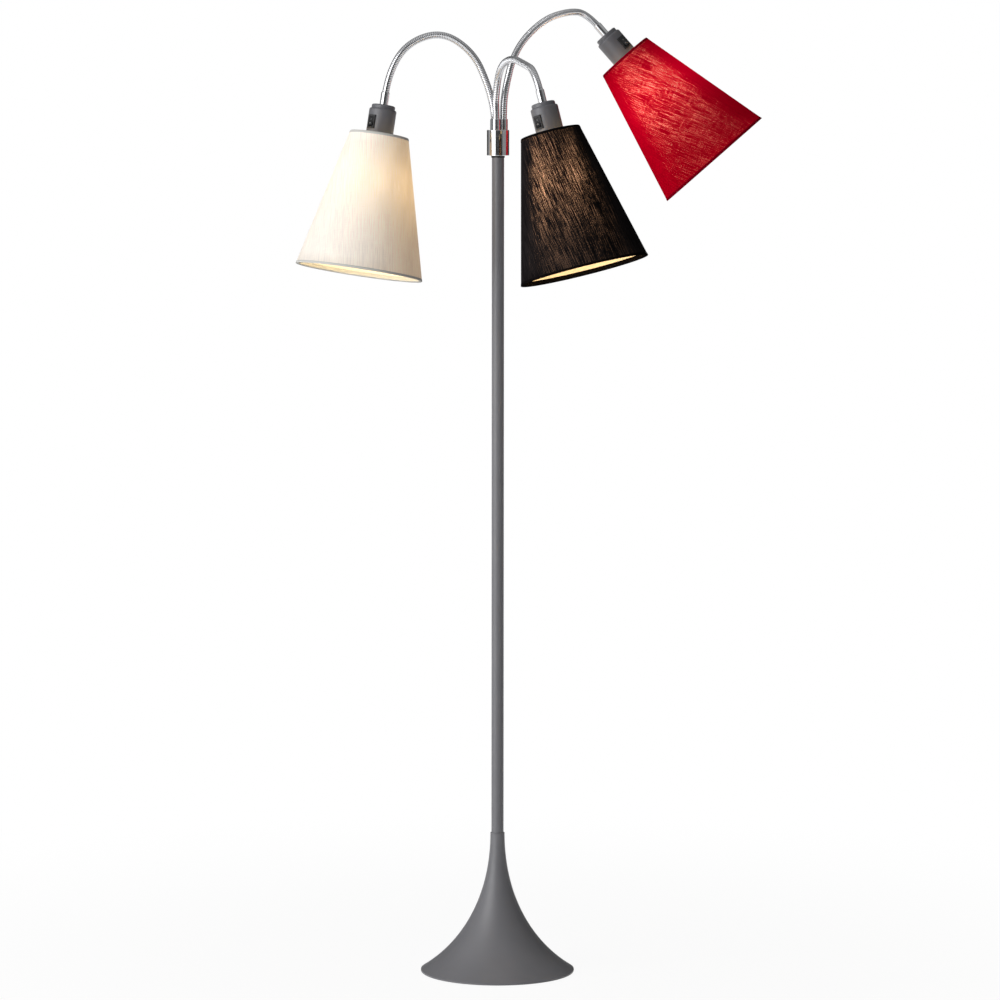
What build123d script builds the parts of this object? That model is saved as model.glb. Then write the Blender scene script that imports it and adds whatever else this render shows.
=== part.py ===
from build123d import *
from dataclasses import dataclass
from math import atan2, cos, radians, sin, sqrt, tan
import os

# Tree floor lamp: a trumpet base, a straight pole and a turned collar from which three flexible
# necks rise, each with a switched lampholder, a bulb and a cone shade. Millimetres, +Z up, the
# origin on the floor at the pole's axis, -Y towards the front.

# ---- fits ----------------------------------------------------------------------------------
press_gap = 0.02            # between pieces that are pressed, screwed or clamped together
turning_gap = 0.05          # round a stem that turns in its bore
loose_gap = 0.3             # between pieces that only lie beside each other
open_cut = 1.0              # how far a pocket's cut runs on past the open face

# ---- base ----------------------------------------------------------------------------------
base_radius = 120.0
base_height = 220.0         # floor to the top of the trumpet's neck
base_wall = 1.6             # spun steel
base_edge_height = 4.0      # where the flare ends and the rolled edge begins
base_edge_slope = 32.0      # of the flare at the edge, from the floor
base_flare_low = 68.0       # length of the flare's lower curve handle
base_flare_high = 110.0     # length of the flare's upper curve handle
base_lip_width = 22.0       # the edge turned in under the weight
pad_thickness = 1.2
pad_inner_radius = 62.0
pad_inset = 8.0             # from the base's edge to the pad's

weight_inset = 19.0         # from the base's edge to the casting's
weight_edge_height = 8.0    # the straight edge of the casting
weight_shoulder = 31.0      # how far its sloping side runs in
weight_height = 31.0
weight_recess_radius = 21.0
weight_recess_depth = 21.0
lead_channel_width = 8.0
lead_channel_height = 7.0

stud_radius = 5.0           # hollow threaded stud that ties the pole to the weight
stud_bore_radius = 3.3
stud_in_pole = 22.0
stud_below_washer = 10.0
washer_radius = 16.0
washer_thickness = 2.0
nut_across_flats = 17.0
nut_height = 8.0

gland_width = 12.0
gland_depth = 14.0          # along the lead
gland_height = 9.0
gland_bore_radius = 3.1

# ---- pole and collar -----------------------------------------------------------------------
pole_radius = 9.5
pole_wall = 1.2
pole_in_collar = 10.0
collar_radius = 17.2
collar_height = 39.5
collar_bottom = 1275.5      # above the floor
collar_chamber_radius = 13.0
collar_chamber_height = 6.0
collar_edge_round = 0.8
spacer_radius = 10.4
spacer_height = 3.0
set_screw_radius = 2.0
set_screw_height = 5.0      # above the collar's bottom

# ---- leads ---------------------------------------------------------------------------------
mains_lead_radius = 2.7
mains_lead_height = 5.8     # its middle above the floor, on the way in under the weight
mains_lead_bend = 8.0
arm_lead_radius = 1.8
arm_lead_spread = 2.6       # from the pole's axis to each arm's lead
joiner_radius = 7.5
joiner_length = 30.0
joiner_depth = 45.5         # below the collar
lead_splay = 20.0           # below the collar, where the three leads start to part
lead_gather = 27.5          # above the collar's bottom, where they run straight up again

# ---- flexible necks ------------------------------------------------------------------------
hub_radius = 8.3            # from the pole's axis to each neck's foot
neck_radius = 5.5
neck_wall = 1.6
neck_in_ferrule = 9.0
neck_first_run = 8.0        # straight run out of the lower ferrule
ferrule_radius = 6.8
lower_ferrule_height = 17.0
lower_stem_radius = 6.0
lower_stem_length = 24.0
upper_ferrule_radius = 6.5
upper_ferrule_length = 20.0
upper_stem_radius = 5.0
upper_stem_length = 12.0
ferrule_bore_radius = 3.6
ferrule_round = 0.8
inner_run_share = 0.45      # of a run between two bends that each bend may use
end_run_share = 0.9         # of the first and the last run

# ---- lampholder, measured down the head's axis from the cap's top ---------------------------
cap_radius = 18.0
cap_height = 6.0
cap_round = 2.2
cap_plug_depth = 5.0
holder_radius = 21.0
holder_wall = 3.0
holder_shoulder = 58.0      # where the shade's ring seats
holder_round = 3.0
holder_top_thickness = 3.0
holder_mouth_radius = 16.5
skirt_radius = 19.6
skirt_length = 22.0
core_top = 42.0
core_disc_thickness = 4.5
shell_radius = 14.4
shell_wall = 0.7
shell_length = 27.0

switch_centre = 28.5
switch_height = 21.0
switch_width = 13.5
switch_face = 22.6          # from the head's axis
switch_depth = 13.0
rocker_height = 14.4
rocker_width = 8.8
rocker_pivot_depth = 2.6    # under the switch's face
rocker_thickness = 5.0
rocker_taper = 1.0          # how much shorter each end is at the back
rocker_dish = 1.0           # how far the middle of its face lies under the two ends
rocker_throw = 8.0          # degrees each way
rocker_gap = 0.4

# ---- bulb ----------------------------------------------------------------------------------
bulb_radius = 30.0
bulb_length = 112.0         # contact to tip
bulb_glass_wall = 1.0
bulb_neck_radius = 12.2
bulb_neck_length = 2.0      # straight glass below the cap
bulb_cap_radius = 13.1
bulb_cap_wall = 0.7
bulb_cap_length = 27.0
bulb_contact_radius = 4.5
bulb_contact_height = 2.0
core_contact_radius = 3.0
core_contact_height = 3.5

# ---- shade ---------------------------------------------------------------------------------
shade_top = 45.4            # down the head's axis from the cap's top
shade_height = 214.0
shade_top_radius = 45.4
shade_bottom_radius = 98.2
shade_wall = 1.2
wire_radius = 1.5
wire_inset = 2.2            # from a rim to the wire's middle
spider_radius = 26.0
spider_thickness = 2.1
spider_arms = 3
spider_arm_width = 4.0
spider_arm_thickness = 2.0
ring_flange_radius = 27.0
ring_radius = 24.0
ring_flange_thickness = 2.0
ring_height = 8.0


@dataclass
class Arm:
    """One neck and its head. Reach and height are measured from the collar's top centre."""

    name: str
    hub_angle: float        # of its foot round the pole's axis, from +X towards +Y
    heading: float          # of the neck's plane
    bends: tuple            # corners of the neck's run: reach from the foot, height
    reach: float            # of the neck's tip from the foot
    height: float           # of the neck's tip
    lean: float             # of the head's axis from straight down
    lean_heading: float     # the way its shade's mouth looks
    last_run: float         # straight run into the upper ferrule
    switch_turn: float      # of the switch round the head's axis, from the front


white_bends = ((11.0, 70.0), (34.0, 119.0), (83.0, 151.0), (138.0, 133.0))
white_reach = 171.9
white_height = 57.3
white_last_run = 30.0
black_bends = ((-3.0, 52.0), (18.0, 98.0), (70.0, 110.0), (126.0, 99.0))
black_reach = 191.8
black_height = 59.9
black_last_run = 30.0
red_bends = ((2.0, 57.0), (21.0, 124.0), (73.0, 170.0), (122.0, 184.0))
red_reach = 175.0
red_height = 163.5
red_last_run = 24.0

arms = [
    Arm("white", 128.6, -166.5, white_bends, white_reach, white_height,
        10.1, -146.2, white_last_run, 43.0),
    Arm("black", 248.6, -70.1, black_bends, black_reach, black_height,
        15.3, -24.1, black_last_run, 40.0),
    Arm("red", 8.6, 33.5, red_bends, red_reach, red_height,
        41.4, -3.6, red_last_run, -41.0),
]

# ---- heights that follow -------------------------------------------------------------------
lip_bottom = pad_thickness
lip_top = lip_bottom + base_wall
weight_radius = base_radius - weight_inset
weight_top_radius = weight_radius - weight_shoulder
weight_bottom = lip_top + press_gap
weight_top = weight_bottom + weight_height
recess_top = weight_bottom + weight_recess_depth
collar_top = collar_bottom + collar_height
pole_top = collar_bottom + pole_in_collar
joiner_top = collar_bottom - joiner_depth
pole_inner_radius = pole_radius - pole_wall
pole_bore_in_collar = collar_bottom + pole_in_collar + press_gap
neck_inner_radius = neck_radius - neck_wall
neck_socket_radius = neck_radius + press_gap
holder_inner_radius = holder_radius - holder_wall
skirt_bottom = holder_shoulder + skirt_length
core_radius = holder_inner_radius - press_gap
core_face = core_top + core_disc_thickness
bulb_contact = core_face + core_contact_height + press_gap
bulb_cap_bottom = bulb_contact + bulb_cap_length
shade_bottom = shade_top + shade_height
shade_slope = (shade_bottom_radius - shade_top_radius) / shade_height

UP = Vector(0, 0, 1)


# ---- shared helpers ------------------------------------------------------------------------
def compass(angle):
    """The level direction at an angle from +X towards +Y."""
    return Vector(cos(radians(angle)), sin(radians(angle)), 0)


def turned(*edges):
    """A solid turned round Z from edges drawn as (radius, height)."""
    return revolve(Plane.XZ * make_face(Curve() + list(edges)), Axis.Z)


def turned_outline(*points):
    """A solid turned round Z from a closed outline of straight runs."""
    return revolve(Plane.XZ * make_face(Polyline(*points, close=True)), Axis.Z)


def ring(outer, inner, bottom, top):
    """A plain ring round Z."""
    return turned_outline((inner, bottom), (outer, bottom), (outer, top), (inner, top))


def disc(radius, bottom, top):
    """A plain disc round Z."""
    return turned_outline((0, bottom), (radius, bottom), (radius, top), (0, top))


def block(x_range, y_range, z_range):
    """A box given by its limits."""
    size = [high - low for low, high in (x_range, y_range, z_range)]
    middle = [(high + low) / 2 for low, high in (x_range, y_range, z_range)]
    return Pos(*middle) * Box(*size)


def bend_radii(points):
    """The largest radius that each corner's two runs allow."""
    runs = [(b - a).length for a, b in zip(points, points[1:])]
    rooms = [inner_run_share * run for run in runs]
    rooms[0] = end_run_share * runs[0]
    rooms[-1] = end_run_share * runs[-1]
    radii = []
    for index in range(1, len(points) - 1):
        before = points[index] - points[index - 1]
        after = points[index + 1] - points[index]
        turn = before.get_angle(after)
        radii.append(min(rooms[index - 1], rooms[index]) / tan(radians(turn / 2)))
    return radii


def tube_along(points, radii, radius, bore=0.0):
    """A round tube or rod along straight runs joined by tangent arcs."""
    path = FilletPolyline(*points, radius=radii)
    start = Plane(points[0], z_dir=points[1] - points[0])
    section = Circle(radius)
    if bore:
        section = section - Circle(bore)
    return sweep(start * section, path=path)


# ---- base ----------------------------------------------------------------------------------
def flare(neck_radius_here, edge_radius, edge_height):
    """The trumpet's curve, from its neck down to its edge."""
    slope = radians(base_edge_slope)
    return Bezier(
        (neck_radius_here, base_height),
        (neck_radius_here, base_height - base_flare_high),
        (edge_radius - base_flare_low * cos(slope), edge_height + base_flare_low * sin(slope)),
        (edge_radius, edge_height),
    )


def base_outer():
    """The base as a full solid, used to trim what lies flush with it."""
    neck = pole_radius + press_gap + base_wall
    return turned(
        flare(neck, base_radius, base_edge_height),
        Polyline((base_radius, base_edge_height), (base_radius, lip_bottom), (0, lip_bottom),
                 (0, base_height), (neck, base_height)),
    )


def base_shell():
    """Spun shell: trumpet, rolled edge and a lip turned in under the weight."""
    slope = radians(base_edge_slope)
    neck_in = pole_radius + press_gap
    neck_out = neck_in + base_wall
    edge_in = base_radius + (base_edge_height - lip_top) / tan(slope) - base_wall / sin(slope)
    lip_in = base_radius - base_lip_width
    shell = turned(
        flare(neck_out, base_radius, base_edge_height),
        Polyline((base_radius, base_edge_height), (base_radius, lip_bottom), (lip_in, lip_bottom),
                 (lip_in, lip_top), (edge_in, lip_top)),
        flare(neck_in, edge_in, lip_top),
        Line((neck_in, base_height), (neck_out, base_height)),
    )
    edge = shell.edges().filter_by(GeomType.CIRCLE).filter_by(
        lambda e: abs(e.radius - base_radius) < 0.01 and abs(e.center().Z - lip_bottom) < 0.01)
    shell = fillet(edge, base_wall / 2)
    return shell - gland_space(press_gap)


def gland_space(gap):
    """The block that the gland fills in the base's edge, at the back."""
    back = base_radius + gap
    return block(
        (-gland_width / 2 - gap, gland_width / 2 + gap),
        (base_radius - gland_depth - gap, back),
        (lip_bottom - gap, lip_bottom + gland_height + gap),
    )


def cord_gland():
    """Plastic gland flush with the flare, bored for the mains lead."""
    gland = gland_space(0) & base_outer()
    bore = Cylinder(gland_bore_radius, 4 * gland_depth)
    return gland - Pos(0, base_radius, mains_lead_height) * Rot(90, 0, 0) * bore


def base_weight():
    """Cast iron, with a recess for the nut and a channel for the lead."""
    stud_hole = stud_radius + loose_gap
    casting = turned_outline(
        (stud_hole, weight_bottom), (weight_radius, weight_bottom),
        (weight_radius, weight_bottom + weight_edge_height),
        (weight_top_radius, weight_top), (stud_hole, weight_top),
    )
    recess = disc(weight_recess_radius, weight_bottom, recess_top)
    channel = block((-lead_channel_width / 2, lead_channel_width / 2), (0, weight_radius),
                    (weight_bottom, weight_bottom + lead_channel_height))
    return casting - recess - channel


def base_pad():
    """Felt ring that the base stands on."""
    return ring(base_radius - pad_inset, pad_inner_radius, 0, pad_thickness)


def base_washer():
    """Steel washer in the roof of the weight's recess."""
    return ring(washer_radius, stud_radius + press_gap, recess_top - washer_thickness, recess_top)


def base_nut():
    """Hexagon nut on the stud."""
    top = recess_top - washer_thickness
    hexagon = extrude(RegularPolygon(nut_across_flats / 2, 6, major_radius=False), nut_height)
    return Pos(0, 0, top - nut_height) * hexagon - disc(stud_radius + press_gap, top - nut_height, top)


def pole_stud():
    """Hollow threaded stud through the weight into the pole's plug."""
    return ring(stud_radius, stud_bore_radius, recess_top - washer_thickness - stud_below_washer,
                weight_top + stud_in_pole)


def pole_plug():
    """Plug in the pole's foot that the stud screws into."""
    return ring(pole_inner_radius - press_gap, stud_radius + press_gap, weight_top,
                weight_top + stud_in_pole)


# ---- pole and collar -----------------------------------------------------------------------
def pole_tube():
    """Steel tube from the weight up into the collar."""
    return ring(pole_radius, pole_inner_radius, weight_top, pole_top)


def pole_spacer():
    """Dark plastic ring under the collar."""
    return ring(spacer_radius, pole_radius + press_gap, collar_bottom - spacer_height, collar_bottom)


def set_screw_place():
    """The set screw's axis, from the pole's wall out to the back."""
    return Pos(0, 0, collar_bottom + set_screw_height) * Rot(-90, 0, 0)


def collar():
    """Turned collar: a socket for the pole, a chamber for the leads and three bores."""
    body = disc(collar_radius, collar_bottom, collar_top)
    body = fillet(body.edges().filter_by(GeomType.CIRCLE), collar_edge_round)
    body -= disc(pole_radius + press_gap, collar_bottom, pole_bore_in_collar)
    body -= disc(collar_chamber_radius, pole_bore_in_collar,
                 pole_bore_in_collar + collar_chamber_height)
    for arm in arms:
        foot = compass(arm.hub_angle) * hub_radius
        bore = disc(lower_stem_radius + turning_gap, pole_bore_in_collar, collar_top)
        body -= Pos(foot.X, foot.Y, 0) * bore
    screw_hole = Cylinder(set_screw_radius + press_gap, collar_radius,
                          align=(Align.CENTER, Align.CENTER, Align.MIN))
    return body - set_screw_place() * Pos(0, 0, pole_radius) * screw_hole


def collar_screw():
    """Set screw that holds the collar on the pole, with a hexagon socket."""
    length = collar_radius - pole_radius - 2 * press_gap
    screw = Cylinder(set_screw_radius, length, align=(Align.CENTER, Align.CENTER, Align.MIN))
    socket = extrude(RegularPolygon(set_screw_radius / 2, 6), length / 3)
    screw -= Pos(0, 0, length - length / 3) * socket
    return set_screw_place() * Pos(0, 0, pole_radius + press_gap) * screw


# ---- leads ---------------------------------------------------------------------------------
def mains_lead():
    """From the gland under the weight, up through the stud and the pole to the joiner."""
    points = [
        Vector(0, base_radius - gland_depth, mains_lead_height),
        Vector(0, 0, mains_lead_height),
        Vector(0, 0, joiner_top - joiner_length),
    ]
    return tube_along(points, [mains_lead_bend], mains_lead_radius)


def lead_joiner():
    """Insulated joiner between the mains lead and the arms' leads, inside the pole."""
    return disc(joiner_radius, joiner_top - joiner_length, joiner_top)


def arm_leads():
    """The three arms' leads, from the joiner into the feet of the necks."""
    leads = []
    for arm in arms:
        out = compass(arm.hub_angle)
        inner = out * arm_lead_spread
        outer = out * hub_radius
        points = [
            inner + UP * joiner_top,
            inner + UP * (collar_bottom - lead_splay),
            outer + UP * (collar_bottom + lead_gather),
            outer + UP * collar_top,
        ]
        leads.append(tube_along(points, bend_radii(points), arm_lead_radius))
    return Compound(leads)


# ---- necks ---------------------------------------------------------------------------------
def foot_of(arm):
    """Centre of the collar's top face at this arm's bore."""
    return compass(arm.hub_angle) * hub_radius + UP * collar_top


def head_axis(arm):
    """The direction in which the head looks."""
    level = compass(arm.lean_heading) * sin(radians(arm.lean))
    return level - UP * cos(radians(arm.lean))


def neck_points(arm):
    """Corners of the neck's run between the two ferrules."""
    foot = foot_of(arm)
    out = compass(arm.heading)
    tip = foot + out * arm.reach + UP * arm.height
    start = foot + UP * lower_ferrule_height
    corners = [foot + out * reach + UP * height for reach, height in arm.bends]
    return [start, start + UP * neck_first_run, *corners, tip - head_axis(arm) * arm.last_run, tip]


def neck_run(arm, below, above):
    """The neck's corners with its ends moved on into the ferrules, and its split."""
    points = neck_points(arm)
    radii = bend_radii(points)
    points[0] = points[0] - UP * below
    points[-1] = points[-1] + head_axis(arm) * above
    split = (points[3] + points[4]) / 2
    return points[:4] + [split], radii[:3], [split] + points[4:], radii[3:]


def neck_halves(arm):
    """The flexible tube's two halves, each with the lead inside it."""
    lower, lower_radii, upper, upper_radii = neck_run(arm, neck_in_ferrule, neck_in_ferrule)
    tubes = [
        tube_along(lower, lower_radii, neck_radius, neck_inner_radius),
        tube_along(upper, upper_radii, neck_radius, neck_inner_radius),
    ]
    lead_end = upper_ferrule_length + core_top
    lower, lower_radii, upper, upper_radii = neck_run(arm, lower_ferrule_height, lead_end)
    leads = [
        tube_along(lower, lower_radii, arm_lead_radius),
        tube_along(upper, upper_radii, arm_lead_radius),
    ]
    return [Compound([*tube.solids(), *lead.solids()]) for tube, lead in zip(tubes, leads)]


def lower_ferrule(arm):
    """Turned foot of the neck, free to turn in the collar's bore."""
    socket_bottom = lower_ferrule_height - neck_in_ferrule
    body = turned_outline(
        (ferrule_bore_radius, -lower_stem_length), (lower_stem_radius, -lower_stem_length),
        (lower_stem_radius, turning_gap), (ferrule_radius, turning_gap),
        (ferrule_radius, lower_ferrule_height), (neck_socket_radius, lower_ferrule_height),
        (neck_socket_radius, socket_bottom), (ferrule_bore_radius, socket_bottom),
    )
    rim = body.edges().filter_by(GeomType.CIRCLE).filter_by(
        lambda e: abs(e.radius - ferrule_radius) < 0.01 and e.center().Z > 1)
    return Pos(*foot_of(arm)) * fillet(rim, ferrule_round)


# ---- heads ---------------------------------------------------------------------------------
def head_place(arm):
    """Frame on the head's axis: origin at the cap's top, Z down the axis, X to the front."""
    axis = head_axis(arm)
    top = neck_points(arm)[-1] + axis * upper_ferrule_length
    front = Vector(0, -1, 0)
    front = front - axis * front.dot(axis)
    return Plane(top, x_dir=front, z_dir=axis)


def upper_ferrule():
    """Turned end of the neck, screwed into the cap."""
    socket_top = neck_in_ferrule - upper_ferrule_length
    body = turned_outline(
        (neck_socket_radius, -upper_ferrule_length), (upper_ferrule_radius, -upper_ferrule_length),
        (upper_ferrule_radius, 0), (upper_stem_radius, 0), (upper_stem_radius, upper_stem_length),
        (ferrule_bore_radius, upper_stem_length), (ferrule_bore_radius, socket_top),
        (neck_socket_radius, socket_top),
    )
    rim = body.edges().filter_by(GeomType.CIRCLE).filter_by(
        lambda e: abs(e.radius - upper_ferrule_radius) < 0.01 and e.center().Z < -1)
    return fillet(rim, ferrule_round)


def holder_cap():
    """Domed cap with a plug that screws into the body's mouth."""
    hole = upper_stem_radius + press_gap
    plug = holder_mouth_radius - press_gap
    body = turned_outline(
        (hole, 0), (cap_radius, 0), (cap_radius, cap_height), (plug, cap_height),
        (plug, cap_height + cap_plug_depth), (hole, cap_height + cap_plug_depth),
    )
    rim = body.edges().filter_by(GeomType.CIRCLE).filter_by(
        lambda e: abs(e.radius - cap_radius) < 0.01 and e.center().Z < 1)
    return fillet(rim, cap_round)


def switch_frame(arm):
    """Frame at the switch's middle: X along the face's outward normal, Z down the axis."""
    return Rot(0, 0, arm.switch_turn) * Pos(switch_face, 0, switch_centre)


def switch_block(gap):
    """Outline block of the switch, from its face inwards."""
    return block((-switch_depth - gap, gap), (-switch_width / 2 - gap, switch_width / 2 + gap),
                 (-switch_height / 2 - gap, switch_height / 2 + gap))


def holder_body(arm):
    """Moulded body with a window for the switch and a threaded skirt for the shade's ring."""
    body = turned_outline(
        (holder_mouth_radius, cap_height), (holder_radius, cap_height),
        (holder_radius, holder_shoulder), (skirt_radius, holder_shoulder),
        (skirt_radius, skirt_bottom), (holder_inner_radius, skirt_bottom),
        (holder_inner_radius, cap_height + holder_top_thickness),
        (holder_mouth_radius, cap_height + holder_top_thickness),
    )
    rim = body.edges().filter_by(GeomType.CIRCLE).filter_by(
        lambda e: abs(e.radius - holder_radius) < 0.01 and e.center().Z < cap_height + 1)
    return fillet(rim, holder_round) - switch_frame(arm) * switch_block(press_gap)


def switch_housing(arm):
    """Black switch block, open at its face for the rocker."""
    half_height = rocker_height / 2 * cos(radians(rocker_throw)) + rocker_gap
    half_height += (rocker_pivot_depth + rocker_dish) * sin(radians(rocker_throw))
    half_width = rocker_width / 2 + rocker_gap
    depth = rocker_pivot_depth + rocker_thickness
    pocket = block((-depth, open_cut), (-half_width, half_width), (-half_height, half_height))
    front = switch_block(0)
    face_edges = front.edges().filter_by_position(Axis.X, -0.01, 0.01)
    return switch_frame(arm) * (fillet(face_edges, 0.5) - pocket)


def rocker_axis_place(arm):
    """The rocker's pivot frame, tilted to the switched-on position."""
    return switch_frame(arm) * Pos(-rocker_pivot_depth, 0, 0) * Rot(0, rocker_throw, 0)


def switch_rocker(arm):
    """Dished rocker, drawn as it stands when the lamp is on."""
    half = rocker_height / 2
    middle = rocker_pivot_depth
    outline = Polyline(
        (-rocker_thickness / 2, -half + rocker_taper), (middle + rocker_dish, -half), (middle, 0),
        (middle + rocker_dish, half), (-rocker_thickness / 2, half - rocker_taper), close=True)
    side = Plane.XZ * make_face(outline)
    rocker = extrude(side, rocker_width / 2, both=True)
    return rocker_axis_place(arm) * rocker


def socket_core():
    """Insulating core: a disc with the centre contact and a sleeve round the screw shell."""
    sleeve_inner = shell_radius + press_gap
    return turned_outline(
        (0, core_top), (core_radius, core_top), (core_radius, core_face + shell_length),
        (sleeve_inner, core_face + shell_length), (sleeve_inner, core_face),
        (core_contact_radius, core_face), (core_contact_radius, core_face + core_contact_height),
        (0, core_face + core_contact_height),
    )


def screw_shell():
    """Metal shell that the bulb's cap screws into."""
    return ring(shell_radius, shell_radius - shell_wall, core_face + press_gap,
                core_face + shell_length)


def bulb_cap():
    """The bulb's screw cap, a thin cup with its contact."""
    inner = bulb_cap_radius - bulb_cap_wall
    floor = bulb_contact + bulb_contact_height
    return turned_outline(
        (0, bulb_contact), (bulb_contact_radius, bulb_contact), (bulb_contact_radius, floor),
        (bulb_cap_radius, floor), (bulb_cap_radius, bulb_cap_bottom), (inner, bulb_cap_bottom),
        (inner, floor + bulb_cap_wall), (0, floor + bulb_cap_wall),
    )


def glass_outline(neck, globe):
    """Half outline of the glass: neck, tangent cone and round globe."""
    start = bulb_cap_bottom - bulb_cap_length / 3
    shoulder = bulb_cap_bottom + bulb_neck_length
    centre = bulb_contact + bulb_length - bulb_radius
    touch = tangent_point(neck, shoulder, centre, globe)
    middle_angle = (atan2(touch[1] - centre, touch[0]) + radians(90)) / 2
    middle = (globe * cos(middle_angle), centre + globe * sin(middle_angle))
    return [Polyline((neck, start), (neck, shoulder), touch),
            ThreePointArc(touch, middle, (0, centre + globe))]


def tangent_point(neck, shoulder, centre, globe):
    """Where a line from the glass's shoulder touches the globe's circle."""
    reach = sqrt(neck**2 + (centre - shoulder)**2)
    to_shoulder = atan2(shoulder - centre, neck)
    swing = atan2(sqrt(reach**2 - globe**2), globe)
    angle = to_shoulder + swing
    return (globe * cos(angle), centre + globe * sin(angle))


def bulb_glass():
    """Thin glass envelope, its neck cemented into the cap."""
    outer = glass_outline(bulb_neck_radius, bulb_radius)
    inner = glass_outline(bulb_neck_radius - bulb_glass_wall, bulb_radius - bulb_glass_wall)
    start = bulb_cap_bottom - bulb_cap_length / 3
    tip = bulb_contact + bulb_length
    closing = [Line((bulb_neck_radius, start), (bulb_neck_radius - bulb_glass_wall, start)),
               Line((0, tip), (0, tip - bulb_glass_wall))]
    return turned(*outer, *inner, *closing)


def shade_radius_at(depth):
    """The shade's outer radius at a depth down the head's axis."""
    return shade_top_radius + shade_slope * (depth - shade_top)


def shade():
    """Fabric cone, open at both ends."""
    return turned_outline(
        (shade_top_radius, shade_top), (shade_bottom_radius, shade_bottom),
        (shade_bottom_radius - shade_wall, shade_bottom), (shade_top_radius - shade_wall, shade_top),
    )


def wire_ring_radius(depth):
    """Radius of a wire ring that lies inside the shade at a depth."""
    inner_face = shade_radius_at(depth) - shade_wall
    return inner_face - (wire_radius + press_gap) * sqrt(1 + shade_slope**2)


def shade_frame():
    """Wire rings at both rims, and a spider that hangs the upper one on the holder."""
    upper = shade_top + wire_inset
    lower = shade_bottom - wire_inset
    rings = [Pos(0, 0, depth) * Torus(wire_ring_radius(depth), wire_radius)
             for depth in (upper, lower)]
    seat = holder_shoulder + press_gap
    hub = ring(spider_radius, skirt_radius + loose_gap, seat, seat + spider_thickness)
    hub_height = seat + spider_thickness / 2
    start = Vector(spider_radius - spider_arm_thickness, 0, hub_height)
    end = Vector(wire_ring_radius(upper), 0, upper)
    section = Plane(start, x_dir=(0, 1, 0), z_dir=end - start)
    strip = sweep(section * Rectangle(spider_arm_width, spider_arm_thickness), path=Line(start, end))
    spider = hub
    for turn in range(spider_arms):
        spider += Rot(0, 0, turn * 360 / spider_arms) * strip
    spider += rings[0]
    return Compound([*spider.solids(), *rings[1].solids()])


def shade_ring():
    """Threaded ring that clamps the spider against the holder's shoulder."""
    top = holder_shoulder + 2 * press_gap + spider_thickness
    inner = skirt_radius + press_gap
    return turned_outline(
        (inner, top), (ring_flange_radius, top), (ring_flange_radius, top + ring_flange_thickness),
        (ring_radius, top + ring_flange_thickness), (ring_radius, top + ring_height),
        (inner, top + ring_height),
    )


# ---- the whole lamp ------------------------------------------------------------------------
def stand_pieces():
    """Everything that stands still."""
    makers = (base_shell, base_weight, base_pad, base_washer, base_nut, cord_gland, pole_stud,
              pole_plug, pole_tube, pole_spacer, collar, collar_screw, mains_lead, lead_joiner,
              arm_leads)
    return {make.__name__: make() for make in makers}


def arm_pieces(arm):
    """One neck with its head."""
    place = head_place(arm).location
    lower_neck, upper_neck = neck_halves(arm)
    head = {
        "upper_ferrule": upper_ferrule(),
        "holder_cap": holder_cap(),
        "holder_body": holder_body(arm),
        "switch_housing": switch_housing(arm),
        "switch_rocker": switch_rocker(arm),
        "socket_core": socket_core(),
        "screw_shell": screw_shell(),
        "bulb_cap": bulb_cap(),
        "bulb_glass": bulb_glass(),
        "shade": shade(),
        "shade_frame": shade_frame(),
        "shade_ring": shade_ring(),
    }
    pieces = {"lower_ferrule": lower_ferrule(arm), "neck_lower": lower_neck, "neck_upper": upper_neck}
    pieces.update({name: place * piece for name, piece in head.items()})
    return {f"{name}_{arm.name}": piece for name, piece in pieces.items()}


lamp = stand_pieces()
for each_arm in arms:
    lamp.update(arm_pieces(each_arm))

os.makedirs("parts", exist_ok=True)
for node, piece in lamp.items():
    export_step(piece, f"parts/{node}.step")
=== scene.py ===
"""Looks for the tree floor lamp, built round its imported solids.

Wound chrome necks, linen shades with hems, laps and linings, switch marks and threads are new
pieces; the other solids keep their shapes and get finishes. Everything is in metres, +Z up, -Y
towards the front.
"""

from dataclasses import dataclass
from math import atan2, cos, hypot, pi, radians, sin

import bmesh
import bpy
from mathutils import Matrix, Vector, noise
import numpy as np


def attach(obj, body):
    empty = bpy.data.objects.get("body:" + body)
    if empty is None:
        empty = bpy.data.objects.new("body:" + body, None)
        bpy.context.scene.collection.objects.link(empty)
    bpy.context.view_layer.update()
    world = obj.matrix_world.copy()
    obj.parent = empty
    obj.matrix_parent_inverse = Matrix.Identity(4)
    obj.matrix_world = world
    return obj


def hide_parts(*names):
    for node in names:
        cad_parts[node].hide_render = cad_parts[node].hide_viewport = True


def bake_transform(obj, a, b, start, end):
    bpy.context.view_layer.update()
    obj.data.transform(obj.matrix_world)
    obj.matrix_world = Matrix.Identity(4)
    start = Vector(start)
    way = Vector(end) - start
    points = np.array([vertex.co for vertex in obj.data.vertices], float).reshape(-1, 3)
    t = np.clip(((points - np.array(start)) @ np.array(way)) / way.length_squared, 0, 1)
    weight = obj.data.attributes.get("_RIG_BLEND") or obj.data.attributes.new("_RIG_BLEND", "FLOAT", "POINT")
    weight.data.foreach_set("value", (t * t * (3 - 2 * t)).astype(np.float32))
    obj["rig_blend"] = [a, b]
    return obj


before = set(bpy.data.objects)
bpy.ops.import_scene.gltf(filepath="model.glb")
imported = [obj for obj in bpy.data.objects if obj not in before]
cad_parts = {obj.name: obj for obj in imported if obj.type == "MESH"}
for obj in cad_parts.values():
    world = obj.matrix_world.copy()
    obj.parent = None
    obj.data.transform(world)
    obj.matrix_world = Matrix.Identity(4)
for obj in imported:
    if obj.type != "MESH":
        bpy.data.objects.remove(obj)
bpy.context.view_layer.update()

MM = 0.001
UP = Vector((0, 0, 1))

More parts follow.
